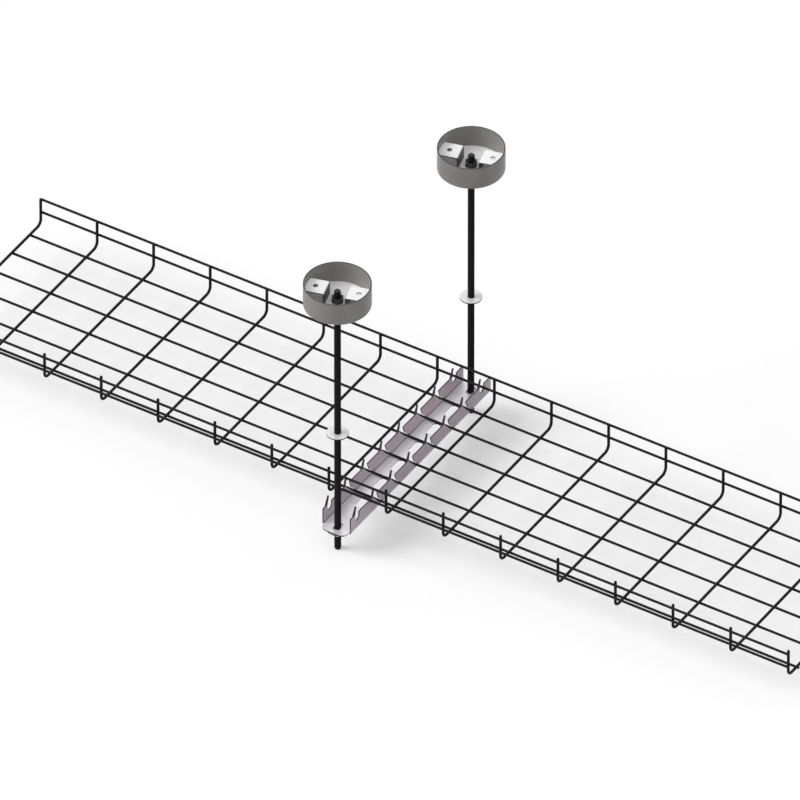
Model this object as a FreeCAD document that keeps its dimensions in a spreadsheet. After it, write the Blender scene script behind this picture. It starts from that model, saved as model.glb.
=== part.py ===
import FreeCAD, Part
import math
import os
import Sketcher

# A wire mesh cable basket in its trapeze hanger, in millimetres.
# X runs along the basket, +Y is the far side and Z is up. The origin is under the middle of the
# assembly, level with the lower ends of the two threaded rods.

SIZES = {
    # Welded mesh basket
    "basket_length": 1500,        # first cross wire to last cross wire
    "basket_width": 300,          # clear width between the walls
    "basket_height": 54,          # underside of the floor wires to the tips of the cross wires
    "basket_offset": 20.5,        # centre of the basket from the middle of the two rods
    "cross_wire": 4.5,            # thickness of the U-shaped cross wires
    "long_wire": 4,               # thickness of the wires that run the length
    "weld_depth": 0.4,            # how far crossing wires melt into each other
    "cross_pitch": 100,           # mesh along the basket
    "floor_pitch": 50,            # mesh across the floor
    "wall_bend": 10,              # bend radius of a cross wire, on its centreline
    "rail_drop": 4,               # tip of a cross wire to the centre of the top rail
    "rail_spacing": 24.5,         # centre of the top rail to the centre of the middle rail
    # Hooked trapeze channel
    "channel_width": 50,
    "channel_overhang": 16,       # end of the channel from the rod axis
    "channel_wall": 26,           # height of the side walls above the web
    "channel_sheet": 2,           # thickness of the formed sheet
    "channel_bend": 3,            # outer bend radius of the sheet
    "tongue_height": 15,          # hook tongue above the top of the wall
    "tongue_width": 6,            # hook tongue at its root
    "tongue_lean": 4,             # how far its tip leans over the mouth of the slot
    "mouth_width": 12.5,          # mouth of a hook slot at the top of the wall
    "hook_reach": 11.5,           # mouth of a hook slot to the wire that it holds
    "knee_reach": 7.5,            # knee of a hook slot to that wire
    "knee_level": 13.5,           # knee of a hook slot above the web
    "notch_depth": 12,            # round notch in the wall past the first and the last hook
    "wire_clearance": 1,          # around a wire in its slot
    "rail_clearance": 1.5,        # beside a middle rail where it crosses the wall
    "rail_gap": 0.3,              # under a middle rail where it crosses the wall
    "web_slot_length": 28,
    "web_slot_width": 13,
    "web_slot_reach": 14,         # middle of a web slot to the floor wire past it
    "rod_slot_length": 20,
    "tab_length": 13,             # rounded end of the web, past the near ends of the walls
    "tab_width": 44,
    "tab_corner": 12,
    # Threaded rods and their fasteners
    "rod_margin": 74,             # the rods are this much further apart than the basket is wide
    "rod_length": 495,
    "rod_diameter": 10,
    "rod_chamfer": 1,
    "rod_tail": 39,               # lower end of a rod to the underside of the channel
    "bore_clearance": 0.5,        # bores are this much wider than the rod
    "washer_diameter": 34,
    "washer_thickness": 2,
    "stop_washer_level": 221,     # underside of the upper washer above the end of the rod
    "nut_flats": 17,
    "nut_height": 8,
    # Ceiling cups and the folded bracket in each
    "cup_diameter": 102,
    "cup_height": 38,
    "cup_sheet": 2,
    "cup_chamfer": 1,
    "cup_below_rod_tip": 24.5,    # underside of the cup from the top of the rod
    "bracket_turn": 15,           # degrees from the run of the basket
    "bracket_width": 31,
    "bracket_height": 23.5,       # underside of its pan to the top of its wings
    "bracket_pan": 36,            # outer width of the pan between the wings
    "bracket_sheet": 2,
    "bracket_bend": 3,            # outer bend radius of its folds
    "bracket_clearance": 0.5,     # ends of the wings to the inside of the cup
    "screw_circle": 67,
    "screw_hole": 8,
}

WIRE_SIDES = 8
FLOOR_WIRE_COUNT = 6
SIDES = (("near", -1), ("far", 1))

SPARE = 1       # how far a cutting outline runs past the metal
TOUCH = 0.01    # places closer together than this count as one


def make_sheet(doc):
    """Write the driving sizes into a spreadsheet, one aliased cell each."""
    sheet = doc.addObject("Spreadsheet::Sheet", "sizes")
    for row, (alias, size) in enumerate(SIZES.items(), start=1):
        sheet.set(f"A{row}", alias.replace("_", " "))
        sheet.set(f"B{row}", str(size))
        sheet.setAlias(f"B{row}", alias)
    doc.recompute()
    return sheet


def sized(text):
    """Turn plain size names in an expression into references to the sheet."""
    words = []
    for word in text.replace("(", "( ").replace(")", " )").split():
        words.append(f"sizes.{word}" if word in SIZES else word)
    return " ".join(words)


def value(sketch, text):
    """Give an expression's present value."""
    result = sketch.evalExpression(sized(text))
    return float(getattr(result, "Value", result))


def make_body(doc, label, x="0", y="0", z="0"):
    """Start a sub-part whose placement is bound to the sheet."""
    body = doc.addObject("PartDesign::Body", label)
    body.Label = label
    body.AllowCompound = True
    for axis, text in zip("xyz", (x, y, z)):
        body.setExpression(f"Placement.Base.{axis}", sized(text))
    return body


def origin_feature(body, role):
    """Find one of the body's own origin planes or axes."""
    return next(item for item in body.Origin.OriginFeatures if item.Role == role)


def make_sketch(body, name, plane, offset="0"):
    """Attach a sketch to one of the body's origin planes, moved along its normal."""
    sketch = body.newObject("Sketcher::SketchObject", name)
    sketch.AttachmentSupport = [(origin_feature(body, plane), "")]
    sketch.MapMode = "FlatFace"
    sketch.setExpression("AttachmentOffset.Base.z", sized(offset))
    return sketch


def bind(sketch, kind, name, text, *where):
    """Add a named dimension and tie it to the sheet."""
    index = sketch.addConstraint(Sketcher.Constraint(kind, *where, value(sketch, text)))
    sketch.renameConstraint(index, name)
    sketch.setExpression(f"Constraints.{name}", sized(text))


def bind_point(sketch, name, geometry, end, x, y):
    """Hold a point of the sketch at a place that is worked out from the sheet."""
    bind(sketch, "DistanceX", f"{name}_x", x, -1, 1, geometry, end)
    bind(sketch, "DistanceY", f"{name}_y", y, -1, 1, geometry, end)


def vector(sketch, x, y):
    """Give a point of the sketch from two expressions."""
    return FreeCAD.Vector(value(sketch, x), value(sketch, y), 0)


def add_polygon(sketch, name, corners):
    """Draw a closed outline of straight lines through corners given as expressions."""
    points = [vector(sketch, x, y) for x, y in corners]
    lines = []
    for start, stop in zip(points, points[1:] + points[:1]):
        lines.append(sketch.addGeometry(Part.LineSegment(start, stop)))
    for line, following in zip(lines, lines[1:] + lines[:1]):
        sketch.addConstraint(Sketcher.Constraint("Coincident", line, 2, following, 1))
    for index, (line, (x, y)) in enumerate(zip(lines, corners)):
        bind_point(sketch, f"{name}_{index}", line, 1, x, y)


def add_rectangle(sketch, name, left, right, low, high):
    """Draw a rectangle between four expressions."""
    add_polygon(sketch, name, [(left, low), (right, low), (right, high), (left, high)])


def add_even_polygon(sketch, name, sides, x, y, across_flats):
    """Draw a regular polygon that stands on one of its flats."""
    corners = []
    for index in range(sides):
        angle = math.pi * (2 * index + 1) / sides - math.pi / 2
        reach = 0.5 / math.cos(math.pi / sides)
        across = f"( {x} ) + {reach * math.cos(angle):.9f} * ( {across_flats} )"
        up = f"( {y} ) + {reach * math.sin(angle):.9f} * ( {across_flats} )"
        corners.append((across, up))
    add_polygon(sketch, name, corners)


def add_circle(sketch, name, x, y, radius):
    """Draw a circle whose centre and radius are bound to the sheet."""
    centre = vector(sketch, x, y)
    normal = FreeCAD.Vector(0, 0, 1)
    circle = sketch.addGeometry(Part.Circle(centre, normal, value(sketch, radius)))
    bind_point(sketch, name, circle, 3, x, y)
    bind(sketch, "Radius", f"{name}_radius", radius, circle)


def add_slot(sketch, name, x, y, length, width, upright):
    """Draw a slot with round ends, across the sketch or upright in it."""
    half = f"( ( {length} ) - ( {width} ) ) / 2"
    radius = f"( {width} ) / 2"
    turn = math.pi / 2 if upright else 0
    centres = []
    for sign in ("+", "-"):
        if upright:
            centres.append((x, f"( {y} ) {sign} {half}"))
        else:
            centres.append((f"( {x} ) {sign} {half}", y))
    normal = FreeCAD.Vector(0, 0, 1)
    arcs = []
    for index, centre in enumerate(centres):
        start = turn - math.pi / 2 + index * math.pi
        circle = Part.Circle(vector(sketch, *centre), normal, value(sketch, radius))
        arcs.append(sketch.addGeometry(Part.ArcOfCircle(circle, start, start + math.pi)))
    ends = [sketch.Geometry[arc] for arc in arcs]
    lines = []
    for first, second in ((0, 1), (1, 0)):
        line = Part.LineSegment(ends[first].EndPoint, ends[second].StartPoint)
        lines.append(sketch.addGeometry(line))
        sketch.addConstraint(Sketcher.Constraint("Tangent", arcs[first], 2, lines[-1], 1))
        sketch.addConstraint(Sketcher.Constraint("Tangent", lines[-1], 2, arcs[second], 1))
    for index, (arc, centre) in enumerate(zip(arcs, centres)):
        bind_point(sketch, f"{name}_{index}", arc, 3, *centre)
    sketch.addConstraint(Sketcher.Constraint("Equal", arcs[0], arcs[1]))
    bind(sketch, "Radius", f"{name}_radius", radius, arcs[0])


def make_pad(body, name, sketch, length, midplane=False):
    """Raise a sketch into a solid."""
    pad = body.newObject("PartDesign::Pad", name)
    pad.Profile = sketch
    pad.Midplane = midplane
    pad.setExpression("Length", sized(length))
    return pad


def make_pocket(body, name, sketch):
    """Cut a sketch right through the body, both ways."""
    pocket = body.newObject("PartDesign::Pocket", name)
    pocket.Profile = sketch
    pocket.Type = "ThroughAll"
    pocket.Midplane = True
    return pocket


def make_row(body, name, feature, axis, length, count):
    """Repeat a feature in a row along one of the body's own axes."""
    row = body.newObject("PartDesign::LinearPattern", name)
    row.Originals = [feature]
    row.Direction = (origin_feature(body, axis), [""])
    row.setExpression("Length", sized(length))
    row.setExpression("Occurrences", sized(count))
    body.Tip = row
    return row


def make_fillet(body, name, edges, radius):
    """Round the edges of the body's last feature that a test picks."""
    body.Document.recompute()
    base = body.Tip
    picked = []
    for index, edge in enumerate(base.Shape.Edges, start=1):
        if edges(edge):
            picked.append(f"Edge{index}")
    fillet = body.newObject("PartDesign::Fillet", name)
    fillet.Base = (base, picked)
    fillet.setExpression("Radius", sized(radius))
    return fillet


# Heights inside the basket, measured from the underside of its floor wires
CROSS_LEVEL = "long_wire - weld_depth + cross_wire / 2"
TOP_RAIL_LEVEL = "basket_height - rail_drop"
MIDDLE_RAIL_LEVEL = "basket_height - rail_drop - rail_spacing"
# Half widths, measured from the middle of the basket
WALL_WIRE = "( basket_width + cross_wire ) / 2"
RAIL_PLACE = "basket_width / 2 + cross_wire - weld_depth + long_wire / 2"
FLOOR_EDGE = f"{(FLOOR_WIRE_COUNT - 1) / 2} * floor_pitch"
# Number of cross wires, and the distance that they take up
CROSS_COUNT = "floor( basket_length / cross_pitch + 0.001 ) + 1"
CROSS_SPAN = "floor( basket_length / cross_pitch + 0.001 ) * cross_pitch"
# Top of the channel's web, which the basket lies on
WEB_TOP = "rod_tail + channel_sheet"
# Rod axis from the middle of the assembly, and the length of the channel
ROD_PLACE = "( basket_width + rod_margin ) / 2"
CHANNEL_LENGTH = "basket_width + rod_margin + 2 * channel_overhang"
NEAR_WALL_END = f"0 - ( {CHANNEL_LENGTH} ) / 2 + tab_length"
# First and last floor wire from the middle of the assembly
FIRST_WIRE = f"basket_offset - {FLOOR_EDGE}"
LAST_WIRE = f"basket_offset + {FLOOR_EDGE}"
# Near edge of a slot's mouth from its wire, and of the notches one mesh past the floor wires
MOUTH_REACH = "( hook_reach + mouth_width )"
FIRST_NOTCH = f"{FIRST_WIRE} - floor_pitch - {MOUTH_REACH}"
LAST_NOTCH = f"{LAST_WIRE} + floor_pitch - {MOUTH_REACH}"
# Heights in the channel's walls, measured from its underside
WALL_TOP = "channel_sheet + channel_wall"
ABOVE_TONGUES = f"{WALL_TOP} + tongue_height + {SPARE}"
# Lean of a hook tongue where a cutting outline ends above its tip
TONGUE_SLOPE = f"tongue_lean * ( tongue_height + {SPARE} ) / tongue_height"


def draw_cross_wire_path(sketch):
    """Draw the U of a cross wire: two walls, two bends and a floor."""
    level = CROSS_LEVEL
    inner = f"( {WALL_WIRE} ) - wall_bend"
    bend_top = f"( {level} ) + wall_bend"
    side, depth, radius = (value(sketch, text) for text in (WALL_WIRE, level, "wall_bend"))
    tip = value(sketch, "basket_height")
    normal = FreeCAD.Vector(0, 0, 1)
    corners = [FreeCAD.Vector(sign * (side - radius), depth + radius, 0) for sign in (-1, 1)]
    left_bend = Part.ArcOfCircle(Part.Circle(corners[0], normal, radius), math.pi, 1.5 * math.pi)
    right_bend = Part.ArcOfCircle(Part.Circle(corners[1], normal, radius), 1.5 * math.pi, 2 * math.pi)
    left_top = FreeCAD.Vector(-side, tip, 0)
    right_top = FreeCAD.Vector(side, tip, 0)
    edges = [
        Part.LineSegment(left_top, left_bend.StartPoint),
        left_bend,
        Part.LineSegment(left_bend.EndPoint, right_bend.StartPoint),
        right_bend,
        Part.LineSegment(right_bend.EndPoint, right_top),
    ]
    wall, bend, floor, other_bend, other_wall = [sketch.addGeometry(edge) for edge in edges]
    for first, second in ((wall, bend), (bend, floor), (floor, other_bend), (other_bend, other_wall)):
        sketch.addConstraint(Sketcher.Constraint("Coincident", first, 2, second, 1))
    bind_point(sketch, "left_tip", wall, 1, f"0 - {WALL_WIRE}", "basket_height")
    bind_point(sketch, "left_wall", wall, 2, f"0 - {WALL_WIRE}", bend_top)
    bind_point(sketch, "left_floor", floor, 1, f"0 - ( {inner} )", level)
    bind_point(sketch, "right_floor", floor, 2, inner, level)
    bind_point(sketch, "right_wall", other_wall, 1, WALL_WIRE, bend_top)
    bind_point(sketch, "right_tip", other_wall, 2, WALL_WIRE, "basket_height")
    bind(sketch, "Radius", "left_radius", "wall_bend", bend)
    bind(sketch, "Radius", "right_radius", "wall_bend", other_bend)


def make_basket(doc):
    """Weld the basket: U-shaped cross wires inside, floor wires and rails outside them."""
    body = make_body(doc, "basket_mesh", y="basket_offset", z=WEB_TOP)
    first = f"0 - ( {CROSS_SPAN} ) / 2"
    path = make_sketch(body, "cross_wire_path", "YZ_Plane", first)
    draw_cross_wire_path(path)
    section = make_sketch(body, "cross_wire_section", "XY_Plane", "basket_height")
    add_even_polygon(section, "section", WIRE_SIDES, first, f"0 - {WALL_WIRE}", "cross_wire")
    wire = body.newObject("PartDesign::AdditivePipe", "cross_wire_solid")
    wire.Profile = section
    wire.Spine = path

    length = "basket_length + cross_wire"
    floor_section = make_sketch(body, "floor_wire_section", "YZ_Plane")
    add_even_polygon(floor_section, "wire", WIRE_SIDES, f"0 - {FLOOR_EDGE}", "long_wire / 2", "long_wire")
    floor_wire = make_pad(body, "floor_wire", floor_section, length, midplane=True)
    make_row(body, "floor_wires", floor_wire, "Y_Axis", f"2 * {FLOOR_EDGE}", f"{FLOOR_WIRE_COUNT}")

    rail_section = make_sketch(body, "rail_section", "YZ_Plane")
    for name, level in (("top", TOP_RAIL_LEVEL), ("middle", MIDDLE_RAIL_LEVEL)):
        add_even_polygon(rail_section, name, WIRE_SIDES, RAIL_PLACE, level, "long_wire")
    rails = make_pad(body, "far_rails", rail_section, length, midplane=True)
    both = body.newObject("PartDesign::Mirrored", "rails")
    both.Originals = [rails]
    both.MirrorPlane = (origin_feature(body, "XZ_Plane"), [""])
    body.Tip = both
    make_row(body, "cross_wires", wire, "X_Axis", CROSS_SPAN, CROSS_COUNT)
    return body


def make_channel(doc):
    """Form the hooked channel: a folded U with a slanted hook slot over every floor wire."""
    body = make_body(doc, "trapeze_channel", z="rod_tail")
    blank_top = f"{WALL_TOP} + tongue_height"
    half = "channel_width / 2"
    inside = "channel_width / 2 - channel_sheet"
    section = make_sketch(body, "channel_section", "XZ_Plane")
    add_polygon(section, "fold", [
        (f"0 - {half}", "0"), (half, "0"), (half, blank_top), (inside, blank_top),
        (inside, "channel_sheet"), (f"0 - ( {inside} )", "channel_sheet"),
        (f"0 - ( {inside} )", blank_top), (f"0 - {half}", blank_top),
    ])
    make_pad(body, "channel_blank", section, CHANNEL_LENGTH, midplane=True)

    inner_radius = "channel_bend - channel_sheet"
    make_fillet(body, "outer_bends", lambda edge: is_fold(edge, section, half, "0"), "channel_bend")
    make_fillet(body, "inner_bends", lambda edge: is_fold(edge, section, inside, "channel_sheet"),
                inner_radius)

    hook = make_sketch(body, "hook_slot_outline", "YZ_Plane")
    draw_hook_slot(hook, FIRST_WIRE)
    cut = make_pocket(body, "hook_slot", hook)
    make_row(body, "hook_slots", cut, "Y_Axis", f"2 * {FLOOR_EDGE}", f"{FLOOR_WIRE_COUNT}")
    cut_end_notches(body)
    round_near_end(body)

    saddles = make_sketch(body, "rail_saddle_outline", "YZ_Plane")
    seat = f"channel_sheet + {MIDDLE_RAIL_LEVEL} - long_wire / 2 - rail_gap"
    for name, sign in (("near", "-"), ("far", "+")):
        centre = f"basket_offset {sign} ( {RAIL_PLACE} )"
        left = f"{centre} - long_wire / 2 - rail_clearance"
        right = f"{centre} + long_wire / 2 + rail_clearance"
        add_polygon(saddles, name, [
            (left, seat), (right, seat), (right, WALL_TOP),
            (f"{right} + {TONGUE_SLOPE}", ABOVE_TONGUES),
            (f"{left} + {TONGUE_SLOPE}", ABOVE_TONGUES), (left, WALL_TOP),
        ])
    make_pocket(body, "rail_saddles", saddles)

    web = make_sketch(body, "web_slot_outline", "XY_Plane")
    add_slot(web, "slot", "0", f"{FIRST_WIRE} - web_slot_reach",
             "web_slot_length", "web_slot_width", upright=True)
    slot = make_pocket(body, "web_slot", web)
    make_row(body, "web_slots", slot, "Y_Axis", f"2 * {FLOOR_EDGE}", f"{FLOOR_WIRE_COUNT}")

    rod_holes = make_sketch(body, "rod_slot_outline", "XY_Plane")
    for name, sign in SIDES:
        add_slot(rod_holes, name, "0", f"{sign} * {ROD_PLACE}",
                 "rod_slot_length", "rod_diameter + 2 * bore_clearance", upright=True)
    make_pocket(body, "rod_slots", rod_holes)
    return body


def is_fold(edge, sketch, across, level):
    """Tell whether a straight edge runs along Y at a place in the folded section."""
    box = edge.BoundBox
    straight = box.XLength < TOUCH and box.ZLength < TOUCH
    at_side = abs(abs(box.Center.x) - value(sketch, across)) < TOUCH
    return straight and at_side and abs(box.Center.z - value(sketch, level)) < TOUCH


def round_near_end(body):
    """Narrow the web to a tab past the near ends of the walls, and round the tab."""
    tab = make_sketch(body, "near_tab_outline", "XY_Plane")
    end = f"0 - ( {CHANNEL_LENGTH} ) / 2"
    past = f"{end} - {SPARE}"
    outside = f"channel_width / 2 + {SPARE}"
    for name, sign in (("left", "-1"), ("right", "1")):
        add_polygon(tab, name, [
            (f"{sign} * tab_width / 2", past), (f"{sign} * ( {outside} )", past),
            (f"{sign} * ( {outside} )", NEAR_WALL_END), (f"{sign} * tab_width / 2", NEAR_WALL_END),
        ])
    make_pocket(body, "near_tab", tab)

    def is_corner(edge):
        """Tell whether an edge is an outer corner of the tab."""
        box = edge.BoundBox
        upright = box.XLength < TOUCH and box.YLength < TOUCH
        return upright and abs(box.Center.y - value(tab, end)) < TOUCH

    make_fillet(body, "near_tab_corners", is_corner, "tab_corner")


def corners_over_wall(mouth):
    """Give the outline of what is cut above the wall, from a slot's mouth to the next tongue."""
    return [
        (f"{mouth} + mouth_width", WALL_TOP),
        (f"{mouth} + floor_pitch - tongue_width", WALL_TOP),
        (f"{mouth} + floor_pitch + tongue_lean / 2", ABOVE_TONGUES),
        (f"{mouth} + {TONGUE_SLOPE}", ABOVE_TONGUES),
        (mouth, WALL_TOP),
    ]


def draw_hook_slot(sketch, wire):
    """Draw what is cut away between one hook tongue and the next, down to the held wire."""
    web = "channel_sheet"
    side = "( long_wire / 2 + wire_clearance )"
    cover = f"{web} + long_wire + wire_clearance / 2"
    add_polygon(sketch, "cut", [
        (f"{wire} - {side}", web),
        (f"{wire} + {side}", web),
        (f"{wire} + {side}", cover),
        (f"{wire}", f"{cover} + wire_clearance"),
        (f"{wire} - knee_reach", f"{web} + knee_level"),
        *corners_over_wall(f"{wire} - {MOUTH_REACH}"),
        (f"{wire} - {side}", f"{web} + wire_clearance"),
    ])


def cut_end_notches(body):
    """Cut the shallow notches past the first and last hook, and trim the wall's ends level."""
    notches = make_sketch(body, "end_notch_outline", "YZ_Plane")
    rounds = make_sketch(body, "notch_round_outline", "YZ_Plane")
    round_level = f"{WALL_TOP} - notch_depth + mouth_width / 2"
    for name, mouth in (("near", FIRST_NOTCH), ("far", LAST_NOTCH)):
        add_polygon(notches, name, [
            (mouth, round_level), (f"{mouth} + mouth_width", round_level), *corners_over_wall(mouth),
        ])
        add_circle(rounds, name, f"{mouth} + mouth_width / 2", round_level, "mouth_width / 2")
    make_pocket(body, "end_notches", notches)
    make_pocket(body, "notch_rounds", rounds)

    trims = make_sketch(body, "end_trim_outline", "YZ_Plane")
    end = f"( {CHANNEL_LENGTH} ) / 2 + {SPARE}"
    add_polygon(trims, "near", [
        (f"0 - ( {end} )", WALL_TOP), (f"{FIRST_NOTCH} - tongue_width", WALL_TOP),
        (f"{FIRST_NOTCH} + tongue_lean / 2", ABOVE_TONGUES), (f"0 - ( {end} )", ABOVE_TONGUES),
    ])
    add_rectangle(trims, "far", f"{LAST_NOTCH} + mouth_width", end, WALL_TOP, ABOVE_TONGUES)
    make_pocket(body, "end_trims", trims)

    first = make_sketch(body, "wall_end_outline", "YZ_Plane")
    add_polygon(first, "near", [
        (f"0 - ( {end} )", WALL_TOP), (NEAR_WALL_END, WALL_TOP),
        (f"{NEAR_WALL_END} + {TONGUE_SLOPE}", ABOVE_TONGUES), (f"0 - ( {end} )", ABOVE_TONGUES),
    ])
    make_pocket(body, "wall_end", first)


def make_rod(doc, name, sign):
    """Turn one threaded rod at its major diameter, with chamfered ends."""
    body = make_body(doc, f"threaded_rod_{name}", y=f"{sign} * {ROD_PLACE}")
    sketch = make_sketch(body, f"rod_{name}_outline", "XZ_Plane")
    radius = "rod_diameter / 2"
    neck = f"{radius} - rod_chamfer"
    add_polygon(sketch, "turned", [
        ("0", "0"), (neck, "0"), (radius, "rod_chamfer"),
        (radius, "rod_length - rod_chamfer"), (neck, "rod_length"), ("0", "rod_length"),
    ])
    turned = body.newObject("PartDesign::Revolution", f"rod_{name}_turned")
    turned.Profile = sketch
    turned.ReferenceAxis = (sketch, ["V_Axis"])
    turned.Angle = 360
    return body


def make_washer(doc, name, sign, kind, level):
    """Cut one flat washer at a height on its rod."""
    body = make_body(doc, f"{kind}_{name}", y=f"{sign} * {ROD_PLACE}", z=level)
    sketch = make_sketch(body, f"{kind}_{name}_outline", "XY_Plane")
    add_circle(sketch, "rim", "0", "0", "washer_diameter / 2")
    add_circle(sketch, "bore", "0", "0", "( rod_diameter + bore_clearance ) / 2")
    make_pad(body, f"{kind}_{name}_disc", sketch, "washer_thickness")
    return body


def make_nut(doc, name, sign, kind, level):
    """Form one hexagon nut at a height on its rod."""
    body = make_body(doc, f"{kind}_{name}", y=f"{sign} * {ROD_PLACE}", z=level)
    sketch = make_sketch(body, f"{kind}_{name}_outline", "XY_Plane")
    add_even_polygon(sketch, "flats", 6, "0", "0", "nut_flats")
    add_circle(sketch, "bore", "0", "0", "( rod_diameter + bore_clearance ) / 2")
    make_pad(body, f"{kind}_{name}_hexagon", sketch, "nut_height")
    return body


CUP_LEVEL = "rod_length - cup_below_rod_tip"
CUP_FLOOR = f"{CUP_LEVEL} + cup_sheet"


def make_cup(doc, name, sign):
    """Draw one open cup with a chamfered foot and a bore for the rod."""
    body = make_body(doc, f"ceiling_cup_{name}", y=f"{sign} * {ROD_PLACE}", z=CUP_LEVEL)
    sketch = make_sketch(body, f"cup_{name}_outline", "XZ_Plane")
    outer = "cup_diameter / 2"
    inner = f"{outer} - cup_sheet"
    bore = "( rod_diameter + bore_clearance ) / 2"
    add_polygon(sketch, "shell", [
        (bore, "0"), (f"{outer} - cup_chamfer", "0"), (outer, "cup_chamfer"),
        (outer, "cup_height"), (inner, "cup_height"), (inner, "cup_sheet"), (bore, "cup_sheet"),
    ])
    turned = body.newObject("PartDesign::Revolution", f"cup_{name}_turned")
    turned.Profile = sketch
    turned.ReferenceAxis = (sketch, ["V_Axis"])
    turned.Angle = 360
    return body


def make_bracket(doc, name, sign):
    """Fold the bracket in one cup: a pan on the cup's floor and two raised wings."""
    body = make_body(doc, f"cup_bracket_{name}", y=f"{sign} * {ROD_PLACE}", z=CUP_FLOOR)
    body.setExpression("Placement.Rotation.Angle", sized("bracket_turn"))
    section = make_sketch(body, f"bracket_{name}_section", "XZ_Plane")
    half = "bracket_pan / 2"
    inside = f"{half} - bracket_sheet"
    reach = "cup_diameter / 2"
    under = "bracket_height - bracket_sheet"
    add_polygon(section, "hat", [
        (f"0 - {reach}", under), (f"0 - {half}", under), (f"0 - {half}", "0"), (half, "0"),
        (half, under), (reach, under), (reach, "bracket_height"), (inside, "bracket_height"),
        (inside, "bracket_sheet"), (f"0 - ( {inside} )", "bracket_sheet"),
        (f"0 - ( {inside} )", "bracket_height"), (f"0 - {reach}", "bracket_height"),
    ])
    make_pad(body, f"bracket_{name}_strip", section, "bracket_width", midplane=True)
    folds = (
        ("outer", ((half, "0"), (inside, "bracket_height")), "bracket_bend"),
        ("inner", ((half, under), (inside, "bracket_sheet")), "bracket_bend - bracket_sheet"),
    )
    for kind, places, radius in folds:
        make_fillet(body, f"bracket_{name}_{kind}_folds",
                    lambda edge, at=places: any(is_fold(edge, section, *place) for place in at), radius)
    ends = make_sketch(body, f"bracket_{name}_end_outline", "XY_Plane")
    add_circle(ends, "wing_ends", "0", "0", f"{reach} - cup_sheet - bracket_clearance")
    add_circle(ends, "past", "0", "0", "cup_diameter")
    make_pocket(body, f"bracket_{name}_ends", ends)
    holes = make_sketch(body, f"bracket_{name}_hole_outline", "XY_Plane")
    add_circle(holes, "bore", "0", "0", "( rod_diameter + bore_clearance ) / 2")
    for side, sign_x in (("left", "-1"), ("right", "1")):
        add_circle(holes, side, f"{sign_x} * screw_circle / 2", "0", "screw_hole / 2")
    make_pocket(body, f"bracket_{name}_holes", holes)
    return body


def make_hanger_side(doc, name, sign):
    """Make everything that hangs on one rod."""
    under = "rod_tail - washer_thickness"
    return [
        make_rod(doc, name, sign),
        make_washer(doc, name, sign, "stop_washer", "stop_washer_level"),
        make_washer(doc, name, sign, "clamp_washer", under),
        make_nut(doc, name, sign, "clamp_nut", f"{under} - nut_height"),
        make_cup(doc, name, sign),
        make_bracket(doc, name, sign),
        make_nut(doc, name, sign, "anchor_nut", f"{CUP_FLOOR} + bracket_sheet"),
    ]


def check_document(doc, parts):
    """Stop if any object failed or any sub-part has no sound shape."""
    for item in doc.Objects:
        if "Invalid" in item.State or "Error" in item.State:
            raise RuntimeError(f"{item.Label} did not build: {item.State}")
    for part in parts:
        if part.Shape.isNull() or not part.Shape.isValid():
            raise RuntimeError(f"{part.Label} has no sound shape")


def main():
    """Build the assembly and write one file for each sub-part."""
    doc = FreeCAD.newDocument("cable_basket")
    make_sheet(doc)
    parts = [make_basket(doc), make_channel(doc)]
    for name, sign in SIDES:
        parts += make_hanger_side(doc, name, sign)
    doc.recompute()
    check_document(doc, parts)
    os.makedirs("parts", exist_ok=True)
    for part in parts:
        part.Shape.exportStep(f"parts/{part.Label}.step")
        print(part.Label, len(part.Shape.Solids), round(part.Shape.Volume, 1), part.Shape.BoundBox)


main()
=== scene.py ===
"""A wire mesh cable basket that lies in a hooked trapeze channel between two threaded rods.

Every size is in metres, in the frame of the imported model: +X runs along the basket, +Y points to
the far rod, and the rods stand on the floor at z = 0.
"""

from __future__ import annotations

import logging
import math
from dataclasses import dataclass, field
from enum import Enum
from typing import Callable, NamedTuple, Sequence

import bmesh
import bpy
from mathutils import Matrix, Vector


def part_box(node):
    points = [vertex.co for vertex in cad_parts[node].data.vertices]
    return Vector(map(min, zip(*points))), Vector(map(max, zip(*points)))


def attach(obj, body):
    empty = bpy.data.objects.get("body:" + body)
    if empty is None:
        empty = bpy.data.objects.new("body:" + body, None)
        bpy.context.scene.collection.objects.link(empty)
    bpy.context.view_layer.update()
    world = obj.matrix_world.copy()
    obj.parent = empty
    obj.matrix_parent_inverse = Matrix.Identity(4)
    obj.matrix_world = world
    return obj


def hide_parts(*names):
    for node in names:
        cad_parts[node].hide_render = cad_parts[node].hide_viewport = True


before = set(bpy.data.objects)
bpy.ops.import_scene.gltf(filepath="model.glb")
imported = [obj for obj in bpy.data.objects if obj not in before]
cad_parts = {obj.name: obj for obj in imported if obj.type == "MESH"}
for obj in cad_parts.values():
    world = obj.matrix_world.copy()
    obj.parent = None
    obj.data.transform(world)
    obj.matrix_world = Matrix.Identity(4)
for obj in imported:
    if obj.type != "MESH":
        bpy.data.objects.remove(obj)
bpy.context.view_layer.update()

log = logging.getLogger("cable_basket")

MM = 0.001
BODY = "root"
JOIN_REACH = 0.005 * MM
FLAT_TURN = math.radians(0.8)
CORNER_TURN = math.radians(32)
EDGE_STEPS = 2
FLAT_WEIGHT = 80

Colour = tuple[float, float, float]
Profile = Sequence[tuple[float, float]]


class Side(Enum):
    """The two ends of the channel, each with its own rod and cup."""

    NEAR = "near"
    FAR = "far"

    def node(self, piece: str) -> str:
        """Name the CAD node of a piece that stands on this side."""
        return f"{piece}_{self.value}"


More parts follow.
